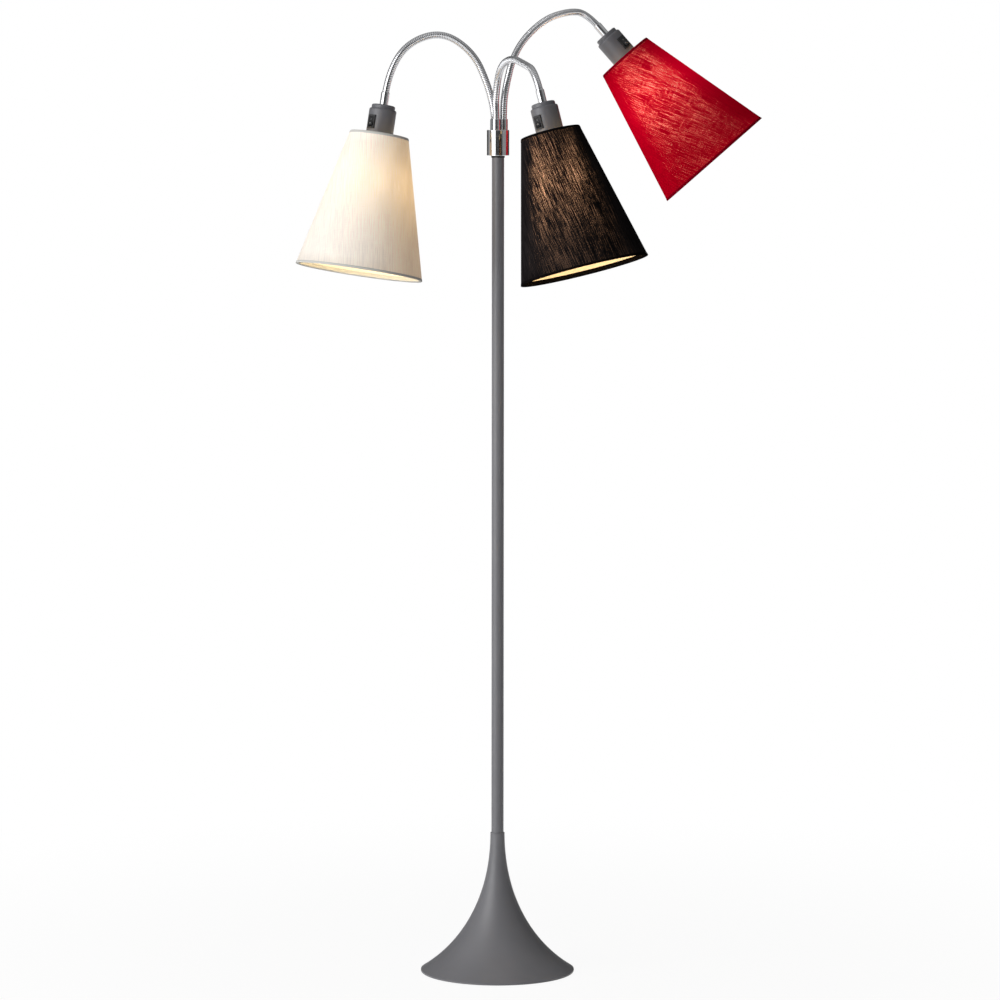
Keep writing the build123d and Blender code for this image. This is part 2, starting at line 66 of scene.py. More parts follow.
# ---- sizes shared with the solids, in millimetres --------------------------------------------
COLLAR_TOP = 1315.0
HUB_RADIUS = 8.3
LOWER_FERRULE = 17.0
UPPER_FERRULE = 20.0
NECK_IN_FERRULE = 8.5
NECK_FIRST_RUN = 8.0
NECK_RADIUS = 5.5
SKIRT_RADIUS = 19.6
RING_BOTTOM = 68.5
SWITCH_CENTRE = 28.5
SWITCH_FACE = 22.6
ROCKER_PIVOT_DEPTH = 2.6
ROCKER_THROW = 8.0   # degrees to either side of level
ROCKER_HALF = 7.2
ROCKER_DISH = 1.0
BULB_MIDDLE = 132.0
SHADE_TOP = 45.4
SHADE_HEIGHT = 214.0
SHADE_TOP_RADIUS = 45.4
SHADE_BOTTOM_RADIUS = 98.2
SHADE_WALL = 1.2
WIRE_RADIUS = 1.5
WIRE_INSET = 2.2


@dataclass
class Arm:
    """One neck and its head: angles in degrees, lengths in millimetres, as in the solids."""

    name: str
    hub_angle: float
    heading: float
    bends: tuple
    reach: float
    height: float
    lean: float
    lean_heading: float
    last_run: float
    switch_turn: float
    grain_turn: float  # of the cloth's grain in the shade's flat pattern
    coarse: bool       # cloth with thick raised yarns
    glow_side: float   # share by which the glow grows to the left and fades to the right


ARMS = (
    Arm(name="white", hub_angle=128.6, heading=-166.5,
        bends=((11, 70), (34, 119), (83, 151), (138, 133)), reach=171.9, height=57.3,
        lean=10.1, lean_heading=-146.2, last_run=30.0, switch_turn=43.0,
        grain_turn=8.0, coarse=False, glow_side=-0.35),
    Arm(name="black", hub_angle=248.6, heading=-70.1,
        bends=((-3, 52), (18, 98), (70, 110), (126, 99)), reach=191.8, height=59.9,
        lean=15.3, lean_heading=-24.1, last_run=30.0, switch_turn=40.0,
        grain_turn=10.0, coarse=True, glow_side=0.8),
    Arm(name="red", hub_angle=8.6, heading=33.5,
        bends=((2, 57), (21, 124), (73, 170), (122, 184)), reach=175.0, height=163.5,
        lean=41.4, lean_heading=-3.6, last_run=24.0, switch_turn=-41.0,
        grain_turn=26.0, coarse=True, glow_side=-0.3),
)


# ---- places ----------------------------------------------------------------------------------
def compass(angle):
    """The level direction at an angle from +X towards +Y."""
    return Vector((cos(radians(angle)), sin(radians(angle)), 0))


def head_axis(arm):
    """The direction in which the head looks."""
    level = compass(arm.lean_heading) * sin(radians(arm.lean))
    return level - UP * cos(radians(arm.lean))


def neck_corners(arm):
    """The neck's route in millimetres, from inside one ferrule to inside the other."""
    foot = compass(arm.hub_angle) * HUB_RADIUS + UP * COLLAR_TOP
    out = compass(arm.heading)
    tip = foot + out * arm.reach + UP * arm.height
    start = foot + UP * LOWER_FERRULE
    bends = [foot + out * reach + UP * height for reach, height in arm.bends]
    return [start, start + UP * NECK_FIRST_RUN, *bends, tip - head_axis(arm) * arm.last_run, tip]


def head_place(arm):
    """Matrix from the head's own frame, in metres: Z down its axis, X to the front."""
    axis = head_axis(arm)
    top = (neck_corners(arm)[-1] + axis * UPPER_FERRULE) * MM
    front = Vector((0, -1, 0))
    front = (front - axis * front.dot(axis)).normalized()
    side = axis.cross(front)
    return Matrix.Translation(top) @ Matrix((front, side, axis)).transposed().to_4x4()


def rocker_place(arm):
    """Matrix from the rocker's own frame: X out of its face, Z down the head's axis."""
    turned = Matrix.Rotation(radians(arm.switch_turn), 4, "Z")
    out = Matrix.Translation(((SWITCH_FACE - ROCKER_PIVOT_DEPTH) * MM, 0, SWITCH_CENTRE * MM))
    tilt = Matrix.Rotation(radians(ROCKER_THROW), 4, "Y")
    return head_place(arm) @ turned @ out @ tilt


# ---- mesh helpers ----------------------------------------------------------------------------
MERGE_DISTANCE = 1e-6    # metres


def placed(name, mesh, materials):
    """Puts a bmesh into the scene with its materials."""
    data = bpy.data.meshes.new(name)
    mesh.to_mesh(data)
    mesh.free()
    for material in materials:
        data.materials.append(material)
    piece = bpy.data.objects.new(name, data)
    bpy.context.scene.collection.objects.link(piece)
    return piece


def finished(name, mesh, materials):
    """Turns a bmesh into a smooth-shaded piece of the lamp."""
    for face in mesh.faces:
        face.smooth = True
    piece = placed(name, mesh, materials)
    return piece


def line_of(mesh, points, closed=False):
    """A chain of edges through (radius, depth) points in the XZ plane, in millimetres."""
    verts = [mesh.verts.new((radius * MM, 0, depth * MM)) for radius, depth in points]
    pairs = list(zip(verts, verts[1:])) + ([(verts[-1], verts[0])] if closed else [])
    return verts + [mesh.edges.new(pair) for pair in pairs]


def spun(mesh, geometry, steps, angle=2 * pi, rise=0.0, merge=True):
    """Spins a profile round Z, climbing by rise at each step."""
    bmesh.ops.spin(mesh, geom=geometry, cent=(0, 0, 0), axis=(0, 0, 1), dvec=(0, 0, rise),
                   angle=angle, steps=steps, use_merge=merge)
    bmesh.ops.remove_doubles(mesh, verts=mesh.verts, dist=MERGE_DISTANCE)


def repeated(mesh, times, turn=0.0, rise=0.0):
    """Doubles the mesh until it is there often enough, each copy turned and raised on."""
    made = 1
    while made < times:
        copy = bmesh.ops.duplicate(mesh, geom=[*mesh.verts, *mesh.edges, *mesh.faces])
        verts = [part for part in copy["geom"] if isinstance(part, bmesh.types.BMVert)]
        bmesh.ops.rotate(mesh, verts=verts, cent=(0, 0, 0),
                         matrix=Matrix.Rotation(turn * made, 3, "Z"))
        bmesh.ops.translate(mesh, verts=verts, vec=(0, 0, rise * made))
        made *= 2
    bmesh.ops.remove_doubles(mesh, verts=mesh.verts, dist=MERGE_DISTANCE)


# ---- wound necks -----------------------------------------------------------------------------
RIB_PITCH = 2.8
RIB_DEPTH = 0.6
SHOULDER = 0.125     # painted groove shade of a rib's two shoulders, whose edges are crisp
# Across one rib: share of the depth, share of the pitch, and painted groove shade, 1 at the bottom
RIB_PROFILE = ((1, 0, 1.0), (0.18, 0.15, SHOULDER), (0, 0.5, 0.0), (0.18, 0.85, SHOULDER),
               (1, 1, 1.0))
RIB_SIDES = 20
ROUTE_STEPS = 32     # points for each stretch of the centreline


def neck_path(arm):
    """Points along the neck's smooth centreline, in metres, and the place of its split."""
    corners = neck_corners(arm)
    split = (corners[3] + corners[4]) / 2
    corners[0] = corners[0] - UP * NECK_IN_FERRULE
    corners[-1] = corners[-1] + head_axis(arm) * NECK_IN_FERRULE
    data = bpy.data.curves.new("route", "CURVE")
    data.dimensions = "3D"
    data.resolution_u = ROUTE_STEPS
    spline = data.splines.new("NURBS")
    spline.points.add(len(corners) - 1)
    for point, corner in zip(spline.points, corners):
        point.co = (*(corner * MM), 1)
    spline.order_u = 3
    spline.use_endpoint_u = True
    route = bpy.data.objects.new("route", data)
    drawn = bpy.data.meshes.new_from_object(route)
    points = [vert.co.copy() for vert in drawn.vertices]
    bpy.data.objects.remove(route)
    bpy.data.curves.remove(data)
    bpy.data.meshes.remove(drawn)
    return points, split * MM


def travelling_frames(points):
    """Length so far, place and two side directions at each point, with no twist."""
    side = Vector((1, 0, 0))
    rows, length = [], 0.0
    for index, point in enumerate(points):
        ahead = points[min(index + 1, len(points) - 1)] - points[max(index - 1, 0)]
        ahead.normalize()
        side = (side - ahead * side.dot(ahead)).normalized()
        if index:
            length += (point - points[index - 1]).length
        rows.append((length, point, side.copy(), ahead.cross(side)))
    return rows


def bent_along(mesh, rows):
    """Moves a straight upright tube onto the route that the rows describe."""
    at = 0
    for vert in sorted(mesh.verts, key=lambda v: v.co.z):
        while at < len(rows) - 2 and rows[at + 1][0] < vert.co.z:
            at += 1
        low, high = rows[at], rows[at + 1]
        share = (vert.co.z - low[0]) / (high[0] - low[0])
        place = low[1].lerp(high[1], share)
        side = low[2].lerp(high[2], share).normalized()
        other = low[3].lerp(high[3], share).normalized()
        vert.co = place + side * vert.co.x + other * vert.co.y


def wound_neck(arm, wound_chrome):
    """The neck: one helix of broad, slightly crowned ribs, cut in two at the split."""
    points, split = neck_path(arm)
    rows = travelling_frames(points)
    total = rows[-1][0]
    split_at = min(rows, key=lambda row: (row[1] - split).length)[0]
    turns = int(total / (RIB_PITCH * MM)) + 1
    pitch = total / (turns - 1) / MM
    pieces = []
    for part, keep_low in (("neck_lower", True), ("neck_upper", False)):
        tube = bmesh.new()
        # painted shade: 1 at the bottom of a groove, where the neck's colour is darkened
        groove_shade = tube.verts.layers.float.new("groove_shade")
        profile = line_of(tube, [(NECK_RADIUS - RIB_DEPTH * deep, (height - 1) * pitch)
                                 for deep, height, _ in RIB_PROFILE])
        for vert, (_, _, value) in zip(profile, RIB_PROFILE):
            vert[groove_shade] = value
        spun(tube, profile, RIB_SIDES, 2 * pi, pitch * MM / RIB_SIDES, False)
        repeated(tube, turns, rise=pitch * MM)
        for edge in tube.edges:
            edge.smooth = any(vert[groove_shade] != SHOULDER for vert in edge.verts)
        low, high = (0, split_at) if keep_low else (split_at, total)
        for height, above in ((low, False), (high, True)):
            bmesh.ops.bisect_plane(
                tube, geom=[*tube.verts, *tube.edges, *tube.faces], plane_co=(0, 0, height),
                plane_no=(0, 0, 1), clear_outer=above, clear_inner=not above)
        bmesh.ops.holes_fill(tube, edges=[edge for edge in tube.edges if edge.is_boundary])
        bent_along(tube, rows)
        bmesh.ops.recalc_face_normals(tube, faces=tube.faces)
        pieces.append(finished(f"{part}_wound_{arm.name}", tube, [wound_chrome]))
    lower, upper = pieces
    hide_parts(f"neck_lower_{arm.name}")
    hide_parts(f"neck_upper_{arm.name}")
    corners = neck_corners(arm)
    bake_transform(lower, f"arm_{arm.name}", f"bow_{arm.name}", start=corners[0] * MM, end=split)
    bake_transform(upper, f"bow_{arm.name}", f"head_{arm.name}", start=split, end=corners[-1] * MM)


# ---- linen shades ----------------------------------------------------------------------------
SLOPE = (SHADE_BOTTOM_RADIUS - SHADE_TOP_RADIUS) / SHADE_HEIGHT
SLANT = hypot(SHADE_HEIGHT, SHADE_BOTTOM_RADIUS - SHADE_TOP_RADIUS)
SIN, COS = (SHADE_BOTTOM_RADIUS - SHADE_TOP_RADIUS) / SLANT, SHADE_HEIGHT / SLANT
CLOTH_WALL = SHADE_WALL * COS
HEM = 4.0            # width of the rolled edge, seen from outside
HEM_STEP = 0.25      # the double cloth's step
HEM_FALL = 0.3       # from the hem's edge to the single cloth beside it
RIM_CORNER = ((0.1, 0.55), (0.45, 0.1), (1.0, 0.0))     # inwards from the edge, back from the rim
CLOTH_ON_WIRE = 0.4
WRAP_ANGLES = (60, 90, 125, 160, 195, 225)              # of the cloth round the wire
FOLD_INSIDE = 8.0    # how far the cloth is turned in
FOLD_END = ((2.0, 0.45), (0.0, 0.3))    # before its end, and how thick it lies on the lining
FOLD_MARGIN = 0.4    # the lining starts this far short of the fold's end
CLOTH_ROWS = 14
LINING_ROWS = 4
OUTER_LAYER = 0.9    # cloth no deeper than this is the outer face, which glows
OUTER_MARGIN = 0.1   # and this far from the hems
YARN_LAYER = 0.5     # cloth no deeper than this has yarns
YARN_MARGIN = 0.2
LAP_WIDTH = 10.0
LAP_COLUMNS = 6
LAP_SHORT = 0.4      # how far it stays from each rim
LAP_LIFT = 0.04      # above the cloth below it
LAP_CLOTH = 0.35     # its thickness
LAP_LIGHT = 0.45     # share of the light that passes both layers
LAP_GAP = 0.8        # yarn_gap of the lap, which has no raised yarns of its own
SECTORS = 32         # the cone is spun as one sector and repeated
SMOOTH_SIDES = 128   # round a shade of fine cloth
YARNS = 704          # raised yarns round a shade of coarse cloth, 0.4 to 0.9 mm apart
YARN_RISE = 0.85     # height of a yarn, as a share of its width
YARN_LIMIT = 0.66    # and at most this high
YARN_MEAN = 0.75     # that height varies by noise round this share
YARN_SWING = 0.5
YARN_APART = 7.3     # step in the noise from yarn to yarn, so that neighbours differ
YARN_WAVE = 0.03     # and for each millimetre along a yarn, so that it changes slowly


def on_cone(along, inwards=0.0):
    """(radius, depth) at a distance down the slant from the top rim and in from the outside."""
    return (SHADE_TOP_RADIUS + along * SIN - inwards * COS,
            SHADE_TOP + along * COS + inwards * SIN)


def under_cone(co):
    """Radius, depth, distance down the slant and distance in from the outside, in mm."""
    radius, depth = hypot(co.x, co.y) / MM, co.z / MM
    surface = SHADE_TOP_RADIUS + SLOPE * (depth - SHADE_TOP)
    return radius, depth, (depth - SHADE_TOP) / COS, surface - radius


def rolled_edge(bottom):
    """Profile of the cloth round the wire at a rim, from the outside to the turned-in end."""
    depth = SHADE_TOP + (SHADE_HEIGHT - WIRE_INSET if bottom else WIRE_INSET)
    reach = SHADE_WALL + WIRE_RADIUS / COS
    radius = SHADE_TOP_RADIUS + SLOPE * (depth - SHADE_TOP) - reach
    way = 1 if bottom else -1
    rim = SHADE_TOP + (SHADE_HEIGHT if bottom else 0)
    edge = SHADE_BOTTOM_RADIUS if bottom else SHADE_TOP_RADIUS
    wrap = WIRE_RADIUS + CLOTH_ON_WIRE
    points = [(edge - inwards, rim - way * back) for inwards, back in RIM_CORNER]
    for angle in WRAP_ANGLES:
        turn = radians(angle)
        points.append((radius + wrap * cos(turn), depth + way * wrap * sin(turn)))
    along = SLANT - FOLD_INSIDE if bottom else FOLD_INSIDE
    points += [on_cone(along + way * before, CLOTH_WALL + thick) for before, thick in FOLD_END]
    return points


def lamp_light(radius, depth):
    """How strongly the bulb lights a place on the shade, 1 where the globe is nearest."""
    down = depth - BULB_MIDDLE
    reach = hypot(radius, down)
    facing = (radius * COS - down * SIN) / reach
    nearest = SHADE_TOP_RADIUS + SLOPE * (BULB_MIDDLE - SHADE_TOP)
    return max(facing, 0.0) * (nearest / reach) ** 2


def flat_place(co, near):
    """A point of the cone in its flat cloth pattern, in metres, unrolled from the front."""
    turn = atan2(co.y, co.x)
    if turn - near > pi:
        turn -= 2 * pi
    elif near - turn > pi:
        turn += 2 * pi
    apex = SHADE_TOP - SHADE_TOP_RADIUS / SLOPE
    reach = hypot(hypot(co.x, co.y), co.z - apex * MM)
    return reach * sin(turn * SIN), -reach * cos(turn * SIN)


def map_cloth(mesh, arm):
    """Gives each corner its place in the flat pattern, and each point its lamp light.

    single_cloth is the share of light that passes the cloth there, and yarn_gap is 1 where
    nothing thicker stands before it.
    """
    pattern = mesh.loops.layers.uv.new("cloth")
    light = mesh.verts.layers.float.new("lamp_light")
    single = mesh.verts.layers.float.new("single_cloth")
    gap = mesh.verts.layers.float.new("yarn_gap")
    for face in mesh.faces:
        middle = face.calc_center_median()
        near = atan2(middle.y, middle.x)
        for loop in face.loops:
            loop[pattern].uv = flat_place(loop.vert.co, near)
    for vert in mesh.verts:
        radius, depth, along, inwards = under_cone(vert.co)
        leftwards = vert.co.y / MM / radius
        vert[light] = lamp_light(radius, depth) * (1 + arm.glow_side * leftwards)
        between_hems = HEM + OUTER_MARGIN < along < SLANT - HEM - OUTER_MARGIN
        vert[single] = 1.0 if inwards < OUTER_LAYER and between_hems else 0.0
        vert[gap] = 1.0


def raise_yarns(mesh):
    """Sinks every second line of the outer cloth, which leaves yarns standing between gaps.

    Seen at a slant the yarns hide the gaps, and with them the lamp light, as thick yarn does.
    """
    gap = mesh.verts.layers.float["yarn_gap"]
    for vert in mesh.verts:
        radius, _, along, inwards = under_cone(vert.co)
        if inwards > YARN_LAYER or not HEM + YARN_MARGIN < along < SLANT - HEM - YARN_MARGIN:
            continue
        line = round(atan2(vert.co.y, vert.co.x) / pi * YARNS)
        if line % 2 == 0:
            vert[gap] = 0.0
            continue
        sink = min(2 * pi * radius / YARNS * YARN_RISE, YARN_LIMIT)
        place = Vector((line * YARN_APART, along * YARN_WAVE, 0))
        sink *= YARN_MEAN + YARN_SWING * noise.noise(place)
        level = Vector((-vert.co.x * COS, -vert.co.y * COS, 0)) / (radius * MM)
        vert.co += (level + UP * SIN) * sink * MM


def cloth_cone(arm, linen, lining):
    """Linen on its backing, rolled over the wires at both rims, closed all round."""
    mesh = bmesh.new()
    sides = 2 * YARNS if arm.coarse else SMOOTH_SIDES
    step = (SLANT - 2 * HEM) / CLOTH_ROWS
    outside = [on_cone(HEM + HEM_FALL + row * (step - 2 * HEM_FALL / CLOTH_ROWS), HEM_STEP)
               for row in range(CLOTH_ROWS + 1)]
    low = rolled_edge(True)
    high = rolled_edge(False)
    inside = [on_cone(FOLD_INSIDE + row * (SLANT - 2 * FOLD_INSIDE) / LINING_ROWS, CLOTH_WALL)
              for row in range(LINING_ROWS, -1, -1)]
    profile = [on_cone(HEM), *outside, on_cone(SLANT - HEM), on_cone(SLANT - HEM / 2), *low,
               *inside, *reversed(high), on_cone(HEM / 2)]
    spun(mesh, line_of(mesh, profile, closed=True), sides // SECTORS, 2 * pi / SECTORS, 0, False)
    repeated(mesh, SECTORS, turn=2 * pi / SECTORS)
    bmesh.ops.recalc_face_normals(mesh, faces=mesh.faces)
    map_cloth(mesh, arm)
    if arm.coarse:
        raise_yarns(mesh)
    for face in mesh.faces:
        middle = face.calc_center_median()
        along = (middle.z / MM - SHADE_TOP) / COS
        turned_in = min(along, SLANT - along) < FOLD_INSIDE - FOLD_MARGIN
        faces_axis = face.normal.dot(Vector((*middle.xy, 0))) < 0
        face.material_index = 1 if faces_axis and not turned_in else 0
    mesh.transform(head_place(arm))
    return finished(f"shade_linen_{arm.name}", mesh, [linen, lining])


def cloth_lap(arm, linen):
    """The glued lap at the back, one more thickness of cloth."""
    mesh = bmesh.new()
    bmesh.ops.create_grid(mesh, x_segments=LAP_COLUMNS, y_segments=CLOTH_ROWS, size=0.5)
    apex_to_rim = SHADE_TOP_RADIUS / SIN
    for vert in mesh.verts:
        across = vert.co.x * LAP_WIDTH
        along = (vert.co.y + 0.5) * (SLANT - 2 * LAP_SHORT) + LAP_SHORT
        turn = pi + across / (apex_to_rim + along) / SIN
        radius, depth = on_cone(along, HEM_STEP if HEM < along < SLANT - HEM else 0.0)
        radius += LAP_LIFT
        vert.co = (radius * cos(turn) * MM, radius * sin(turn) * MM, depth * MM)
    map_cloth(mesh, arm)
    for vert in mesh.verts:
        vert[mesh.verts.layers.float["single_cloth"]] = LAP_LIGHT
        vert[mesh.verts.layers.float["yarn_gap"]] = LAP_GAP
    bmesh.ops.recalc_face_normals(mesh, faces=mesh.faces)
    if sum(face.normal.dot(Vector((*face.calc_center_median().xy, 0))) for face in mesh.faces) < 0:
        bmesh.ops.reverse_faces(mesh, faces=mesh.faces)
    mesh.transform(head_place(arm))
    lap = finished(f"shade_lap_{arm.name}", mesh, [linen])
    wall = lap.modifiers.new("cloth", "SOLIDIFY")
    wall.thickness = LAP_CLOTH * MM
    wall.offset = 1.0
    return lap


def linen_shade(arm, linen, lining):
    """One shade: its cone and its lap, attached to the head in place of the solid shade."""
    cone = cloth_cone(arm, linen, lining)
    lap = cloth_lap(arm, linen)
    for piece in (cone, lap):
        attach(piece, f"head_{arm.name}")
    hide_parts(f"shade_{arm.name}")


# ---- small parts of the head -----------------------------------------------------------------
THREAD_PITCH = 2.4
THREAD_TURNS = 4
THREAD_SIDES = 40
THREAD_START = 0.6   # below the clamping ring
THREAD_RIDGE = ((-0.3, 0), (0.55, 0.55), (0.55, 0.95), (-0.3, 1.5))     # out of the skirt, along
BAR_SIZE = (0.24, 0.7, 3.2)
BAR_ROUNDING = 0.08
RING_SECTION = ((1.05, -0.12), (1.65, -0.12), (1.65, 0.12), (1.05, 0.12))
RING_SIDES = 28
MARK_PLACE = 0.52    # of the way from the rocker's middle to its end


def skirt_thread(arm, plastic):
    """Moulded thread on the lampholder's skirt, below the clamping ring."""
    mesh = bmesh.new()
    ridge = line_of(mesh, [(SKIRT_RADIUS + out, along) for out, along in THREAD_RIDGE])
    spun(mesh, ridge, THREAD_SIDES, 2 * pi, THREAD_PITCH * MM / THREAD_SIDES, False)
    repeated(mesh, THREAD_TURNS, rise=THREAD_PITCH * MM)
    bmesh.ops.holes_fill(mesh, edges=mesh.edges, sides=4)
    bmesh.ops.translate(mesh, verts=mesh.verts, vec=(0, 0, (RING_BOTTOM + THREAD_START) * MM))
    bmesh.ops.recalc_face_normals(mesh, faces=mesh.faces)
    mesh.transform(head_place(arm))
    thread = finished(f"skirt_thread_{arm.name}", mesh, [plastic])
    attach(thread, f"head_{arm.name}")


def switch_marks(arm, ink):
    """A printed bar for on and a ring for off, on the two halves of the rocker's face."""
    slope = atan2(ROCKER_DISH, ROCKER_HALF)
    for name, way in (("bar", -1), ("ring", 1)):
        mesh = bmesh.new()
        if name == "bar":
            bmesh.ops.create_cube(mesh, size=1.0)
            bmesh.ops.scale(mesh, verts=mesh.verts, vec=[size * MM for size in BAR_SIZE])
            bmesh.ops.bevel(mesh, geom=mesh.edges[:], offset=BAR_ROUNDING * MM, segments=2,
                            affect="EDGES", profile=0.5, material=-1)
        else:
            spun(mesh, line_of(mesh, RING_SECTION, closed=True), RING_SIDES)
            bmesh.ops.rotate(mesh, verts=mesh.verts, cent=(0, 0, 0),
                             matrix=Matrix.Rotation(pi / 2, 3, "Y"))
        bmesh.ops.recalc_face_normals(mesh, faces=mesh.faces)
        along = ROCKER_HALF * MARK_PLACE
        lift = ROCKER_PIVOT_DEPTH + ROCKER_DISH * along / ROCKER_HALF
        seat = (Matrix.Translation((lift * MM, 0, way * along * MM))
                @ Matrix.Rotation(way * -slope, 4, "Y"))
        mesh.transform(rocker_place(arm) @ seat)
        mark = finished(f"switch_{name}_{arm.name}", mesh, [ink])
        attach(mark, f"rocker_{arm.name}")


# ---- node helpers ----------------------------------------------------------------------------
WHITE = (1, 1, 1, 1)
NOISE_LOW, NOISE_HIGH = 0.3, 0.7     # nearly all of a noise lies between these


def linear(code):
    """An sRGB hex colour as linear red, green, blue and alpha."""
    parts = [int(code[i:i + 2], 16) / 255 for i in (1, 3, 5)]
    return (*[c / 12.92 if c <= 0.04045 else ((c + 0.055) / 1.055) ** 2.4 for c in parts], 1.0)


def add(tree, kind, inputs=None, **settings):
    """One node with its settings; an input is a value, or another node's output to link."""
    node = tree.nodes.new("ShaderNode" + kind)
    for name, value in settings.items():
        setattr(node, name, value)
    for key, value in (inputs or {}).items():
        if isinstance(value, bpy.types.NodeSocket):
            tree.links.new(value, node.inputs[key])
        else:
            node.inputs[key].default_value = value
    return node


def new_material(name):
    """An empty material's node tree and its output."""
    material = bpy.data.materials.new(name)
    material.use_nodes = True
    tree = material.node_tree
    tree.nodes.clear()
    return material, tree, add(tree, "OutputMaterial")


def patches(tree, vector, size_mm, detail=2.0, roughness=0.5, stretch=None):
    """Noise whose features are about size_mm apart; a scale under 1 draws them out."""
    if stretch:
        vector = add(tree, "Mapping", {"Vector": vector, "Scale": stretch}).outputs[0]
    return add(tree, "TexNoise", {"Vector": vector, "Scale": 1 / (size_mm * MM),
                                  "Detail": detail, "Roughness": roughness}).outputs["Fac"]


def between(tree, factor, low, high, floor=NOISE_LOW, ceiling=NOISE_HIGH):
    """A colour that runs from low to high as a factor runs from floor to ceiling."""
    ramp = add(tree, "ValToRGB", {"Fac": factor})
    ends = ramp.color_ramp.elements
    ends[0].position, ends[0].color = floor, low
    ends[1].position, ends[1].color = ceiling, high
    return ramp.outputs["Color"]


def drifting(tree, place, size_mm, low, high):
    """A value that drifts from low to high and back, in soft patches."""
    return add(tree, "MapRange", {"Value": patches(tree, place, size_mm), "From Min": NOISE_LOW,
                                  "From Max": NOISE_HIGH, "To Min": low,
                                  "To Max": high}).outputs[0]


def surfaced(name, low, high, patch_mm, grain_mm, grain_height_mm, roughness, **shader):
    """A solid finish: two close shades in soft patches, with a fine grain in its relief."""
    material, tree, output = new_material(name)
    place = add(tree, "TexCoord").outputs["Object"]
    colour = between(tree, patches(tree, place, patch_mm), linear(low), linear(high))
    rough = drifting(tree, place, patch_mm / 3, *roughness)
    relief = add(tree, "Bump", {"Height": patches(tree, place, grain_mm, 3.0), "Strength": 1.0,
                                "Distance": grain_height_mm * MM}).outputs[0]
    body = add(tree, "BsdfPrincipled", {"Base Color": colour, "Roughness": rough,
                                        "Normal": relief, **shader})
    tree.links.new(body.outputs[0], output.inputs["Surface"])
    return material


# ---- finishes --------------------------------------------------------------------------------
# Polyester powder coat on spun and drawn steel: an even satin grey with a faint orange peel
powder_coat = surfaced("powder_coat_grey", "#707074", "#757579", 60, 1.4, 0.02, (0.4, 0.48),
                       **{"Specular IOR Level": 0.55})
# Sand-cast iron: dark, rough and a little patchy
cast_iron = surfaced("cast_iron", "#2B2A2A", "#3A3736", 12, 1.1, 0.25, (0.75, 0.9),
                     **{"Metallic": 0.4})
# Pressed wool felt: a soft charcoal mat with short fibres
felt = surfaced("wool_felt", "#26262A", "#35353A", 2.5, 0.7, 0.3, (0.95, 1.0),
                **{"Sheen Weight": 0.3, "Specular IOR Level": 0.1})
# Zinc-plated steel: bluish bright metal, slightly clouded
zinc_plate = surfaced("zinc_plated_steel", "#A9ABB0", "#C3C4C4", 8, 0.5, 0.01, (0.25, 0.4),
                      **{"Metallic": 1.0})
# Moulded ABS with a spark-eroded texture: matt black with a soft edge light
black_abs = surfaced("abs_black", "#141416", "#1D1D20", 10, 0.5, 0.03, (0.42, 0.55))
# Moulded thermoplastic of the lampholder: satin grey with a fine texture
grey_polymer = surfaced("lampholder_polymer", "#626267", "#69696D", 40, 0.6, 0.02, (0.36, 0.44),
                        **{"Specular IOR Level": 0.5})
# Polished polycarbonate: glossy black rocker
rocker_black = surfaced("polycarbonate_black", "#08080A", "#101013", 14, 5.0, 0.01, (0.12, 0.2))
# Moulded polyamide: off-white clamping ring
white_polyamide = surfaced("polyamide_white", "#DAD8D2", "#E6E4DE", 14, 0.8, 0.02, (0.4, 0.5))
# Soft PVC lead: pale grey and slightly waxy
pvc_lead = surfaced("pvc_lead", "#8A8A88", "#989895", 12, 1.0, 0.02, (0.45, 0.55))
# Polished chrome plate over turned steel: near mirror with faint wipe marks in its gloss
chrome = surfaced("chrome_plate", "#D2D3D6", "#DCDDDF", 20, 6.0, 0.004, (0.05, 0.11),
                  **{"Metallic": 1.0})
# Nickelled brass screw shell: warm pale metal
brass = surfaced("nickelled_brass", "#B59A5C", "#CDB57C", 9, 0.8, 0.01, (0.22, 0.35),
                 **{"Metallic": 1.0})
# Rolled aluminium bulb cap: soft grey metal
aluminium = surfaced("rolled_aluminium", "#B7B8B8", "#C9C9C8", 8, 0.6, 0.02, (0.3, 0.42),
                     **{"Metallic": 1.0})
# Urea moulding of the socket's core: chalky cream
urea_core = surfaced("urea_moulding", "#CFCABB", "#DAD6C9", 9, 0.7, 0.02, (0.5, 0.6))
# Epoxy-coated wire: warm white with a slight gloss
coated_wire = surfaced("epoxy_coated_wire", "#DEDCD5", "#E8E6E0", 20, 1.5, 0.03, (0.3, 0.4))
# Pad-printed ink: pale grey marks
ink = surfaced("pad_printed_ink", "#8A8B8D", "#989A9B", 2, 0.4, 0.01, (0.5, 0.6))


def make_wound_chrome():
    """Chrome-plated wire, wound: bright on the ribs, with shade painted dark down in the grooves."""
    material, tree, output = new_material("wound_chrome")
    groove_shade = add(tree, "Attribute", attribute_name="groove_shade").outputs["Fac"]
    place = add(tree, "TexCoord").outputs["Object"]
    # painted shade: the colour darkens from the bright ribs to the bottom of each groove
    colour = between(tree, groove_shade, linear("#DCDDE0"), linear("#1B1C1E"), 0.15, 0.7)
    rough = drifting(tree, place, 5, 0.1, 0.18)
    body = add(tree, "BsdfPrincipled", {"Base Color": colour, "Roughness": rough,
                                        "Metallic": 1.0})
    tree.links.new(body.outputs[0], output.inputs["Surface"])
    return material


def make_opal_glass():
    """Opal-coated glass of a lit lamp: a warm glow, even but for a faint cloudiness."""
    material, tree, output = new_material("opal_glass_lit")
    place = add(tree, "TexCoord").outputs["Object"]
    cloud = between(tree, patches(tree, place, 18), linear("#FFEBCB"), linear("#FFF0D6"))
    body = add(tree, "BsdfPrincipled", {"Base Color": linear("#F4EEE2"), "Roughness": 0.25,
                                        "Emission Color": cloud, "Emission Strength": 4.2})
    tree.links.new(body.outputs[0], output.inputs["Surface"])
    return material


